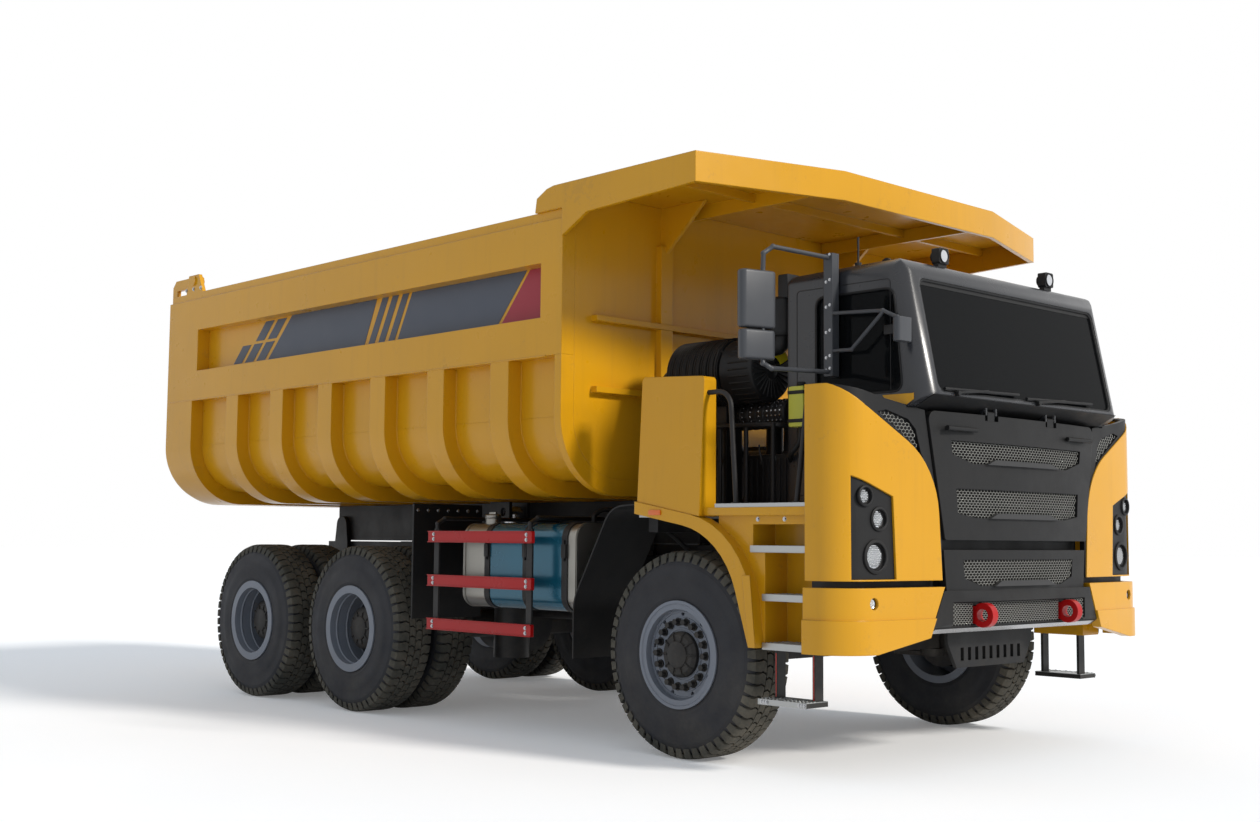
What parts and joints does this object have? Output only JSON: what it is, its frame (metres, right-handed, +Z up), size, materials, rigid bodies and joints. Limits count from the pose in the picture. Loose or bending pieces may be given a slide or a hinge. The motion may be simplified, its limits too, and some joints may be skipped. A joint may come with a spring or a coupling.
{
  "type": "mining dump truck",
  "caption": "Off-road mining tipper with a centred cab, ribbed U-section bed with canopy and tailgate, telescopic hoists, steered front wheels and twin rear wheels.",
  "frame": {"origin": "on the ground under the middle of the truck's length and width", "axes": "+X forward, +Y to the driver's left, +Z up"},
  "size_m": [8.407, 4.0062, 3.926],
  "materials": {
    "yellow_paint": "semi-gloss work yellow with dust",
    "cab_paint": "dark grey paint",
    "black_steel": "satin black paint",
    "black_plastic": "grained black plastic",
    "red_paint": "gloss red",
    "tank_alloy": "brushed",
    "rim_grey": "satin grey",
    "tyre_rubber": "dusty rubber",
    "steel": "ground steel",
    "iron": "painted casting",
    "glass": "tinted",
    "lamp_glass": "clear lens",
    "trim_fabric": "dark cloth"
  },
  "bodies": {
    "chassis": {"chassis_frame": "black_steel", "front_axle": "iron", "rear_axles": "iron", "leaf_springs": "black_steel", "powertrain": "iron", "radiator": "black_steel", "air_cleaner": "black_plastic", "cab_shell": "cab_paint", "cab_glass": "glass", "cab_interior": "trim_fabric", "nose_panel": "black_plastic", "fairings": "yellow_paint", "fairing_trim": "black_plastic", "lamps": "lamp_glass", "bumper_corners": "yellow_paint", "tow_eyes": "red_paint", "fenders": "yellow_paint", "steps": "tank_alloy", "step_hangers": "black_steel", "side_boxes": "yellow_paint", "deck_rails": "black_steel", "side_tanks": "tank_alloy", "tank_straps": "black_steel", "guard_rails": "red_paint", "guard_posts": "black_steel", "mudguards": "black_plastic", "mirror_right": "black_plastic", "roof_fittings": "black_steel"},
    "door_left": {"door_left": "cab_paint", "door_glass_left": "glass", "mirror_left": "black_plastic"},
    "front_flap": {"front_flap": "black_plastic"},
    "bed": {"bed_tub": "yellow_paint", "bed_side_right": "yellow_paint", "bed_side_left": "yellow_paint", "bed_front_wall": "yellow_paint", "bed_canopy": "yellow_paint", "bed_ribs": "yellow_paint", "bed_rails": "yellow_paint", "bed_beams": "yellow_paint"},
    "tailgate": {"tailgate": "yellow_paint"},
    "hoist_barrels": {"hoist_barrels": "black_steel"},
    "hoist_outer": {"hoist_outer": "steel"},
    "hoist_inner": {"hoist_inner": "steel"},
    "hoist_rods": {"hoist_rods": "steel"},
    "knuckle_right": {"knuckle_right": "iron"},
    "knuckle_left": {"knuckle_left": "iron"},
    "tie_rod": {"tie_rod": "steel"},
    "wheel_front_right": {"tyre_front_right": "tyre_rubber", "rim_front_right": "rim_grey"},
    "wheel_front_left": {"tyre_front_left": "tyre_rubber", "rim_front_left": "rim_grey"},
    "wheel_mid_right": {"tyre_mid_right": "tyre_rubber", "rim_mid_right": "rim_grey"},
    "wheel_mid_left": {"tyre_mid_left": "tyre_rubber", "rim_mid_left": "rim_grey"},
    "wheel_rear_right": {"tyre_rear_right": "tyre_rubber", "rim_rear_right": "rim_grey"},
    "wheel_rear_left": {"tyre_rear_left": "tyre_rubber", "rim_rear_left": "rim_grey"}
  },
  "joints": [
    {"name": "steer_right", "type": "hinge", "parent": "chassis", "child": "knuckle_right", "pos_m": [2.4965, -1.2, 0.684], "axis": [0, 0, 1], "range_deg": [-32, 32]},
    {"name": "steer_left", "type": "hinge", "parent": "chassis", "child": "knuckle_left", "pos_m": [2.4965, 1.2, 0.684], "axis": [0, 0, 1], "range_deg": [-32, 32]},
    {"name": "tie_rod_link", "type": "hinge", "parent": "knuckle_right", "child": "tie_rod", "pos_m": [2.1965, -1.2, 0.612], "axis": [0, 0, 1], "range_deg": [-32, 32]},
    {"name": "spin_front_right", "type": "hinge", "parent": "knuckle_right", "child": "wheel_front_right", "pos_m": [2.4965, -1.457, 0.684], "axis": [0, 1, 0], "continuous": true},
    {"name": "spin_front_left", "type": "hinge", "parent": "knuckle_left", "child": "wheel_front_left", "pos_m": [2.4965, 1.457, 0.684], "axis": [0, 1, 0], "continuous": true},
    {"name": "spin_mid_right", "type": "hinge", "parent": "chassis", "child": "wheel_mid_right", "pos_m": [-1.2035, -1.577, 0.684], "axis": [0, 1, 0], "continuous": true},
    {"name": "spin_mid_left", "type": "hinge", "parent": "chassis", "child": "wheel_mid_left", "pos_m": [-1.2035, 1.577, 0.684], "axis": [0, 1, 0], "continuous": true},
    {"name": "spin_rear_right", "type": "hinge", "parent": "chassis", "child": "wheel_rear_right", "pos_m": [-2.8035, -1.577, 0.684], "axis": [0, 1, 0], "continuous": true},
    {"name": "spin_rear_left", "type": "hinge", "parent": "chassis", "child": "wheel_rear_left", "pos_m": [-2.8035, 1.577, 0.684], "axis": [0, 1, 0], "continuous": true},
    {"name": "bed_tilt", "type": "hinge", "parent": "chassis", "child": "bed", "pos_m": [-3.2535, 0, 1.56], "axis": [0, -1, 0], "range_deg": [0, 48]},
    {"name": "tailgate_swing", "type": "hinge", "parent": "bed", "child": "tailgate", "pos_m": [-3.7035, 0, 3.87], "axis": [0, 1, 0], "range_deg": [0, 60]},
    {"name": "hoist_swing", "type": "hinge", "parent": "chassis", "child": "hoist_barrels", "pos_m": [-0.4035, 0, 1.18], "axis": [0, -1, 0], "range_deg": [0, 22]},
    {"name": "hoist_outer_slide", "type": "slide", "parent": "hoist_barrels", "child": "hoist_outer", "axis": [0, 0, 1], "range_m": [0, 0.77]},
    {"name": "hoist_inner_slide", "type": "slide", "parent": "hoist_outer", "child": "hoist_inner", "axis": [0, 0, 1], "range_m": [0, 0.77]},
    {"name": "hoist_rod_slide", "type": "slide", "parent": "hoist_inner", "child": "hoist_rods", "axis": [0, 0, 1], "range_m": [0, 0.77]},
    {"name": "door_left_swing", "type": "hinge", "parent": "chassis", "child": "door_left", "pos_m": [3.9045, 1.193, 2.4], "axis": [0, 0, -1], "range_deg": [0, 57]},
    {"name": "flap_lift", "type": "hinge", "parent": "chassis", "child": "front_flap", "pos_m": [4.0765, 0, 2.272], "axis": [0, -1, 0], "range_deg": [0, 75]}
  ],
  "couplings": [
    {"joint": "steer_left", "follows": "steer_right", "ratio": 1},
    {"joint": "tie_rod_link", "follows": "steer_right", "ratio": -1},
    {"joint": "hoist_swing", "follows": "bed_tilt", "ratio": 0.4435},
    {"joint": "hoist_outer_slide", "follows": "bed_tilt", "m_per_rad": 0.9168},
    {"joint": "hoist_inner_slide", "follows": "bed_tilt", "m_per_rad": 0.9168},
    {"joint": "hoist_rod_slide", "follows": "bed_tilt", "m_per_rad": 0.9168}
  ]
}
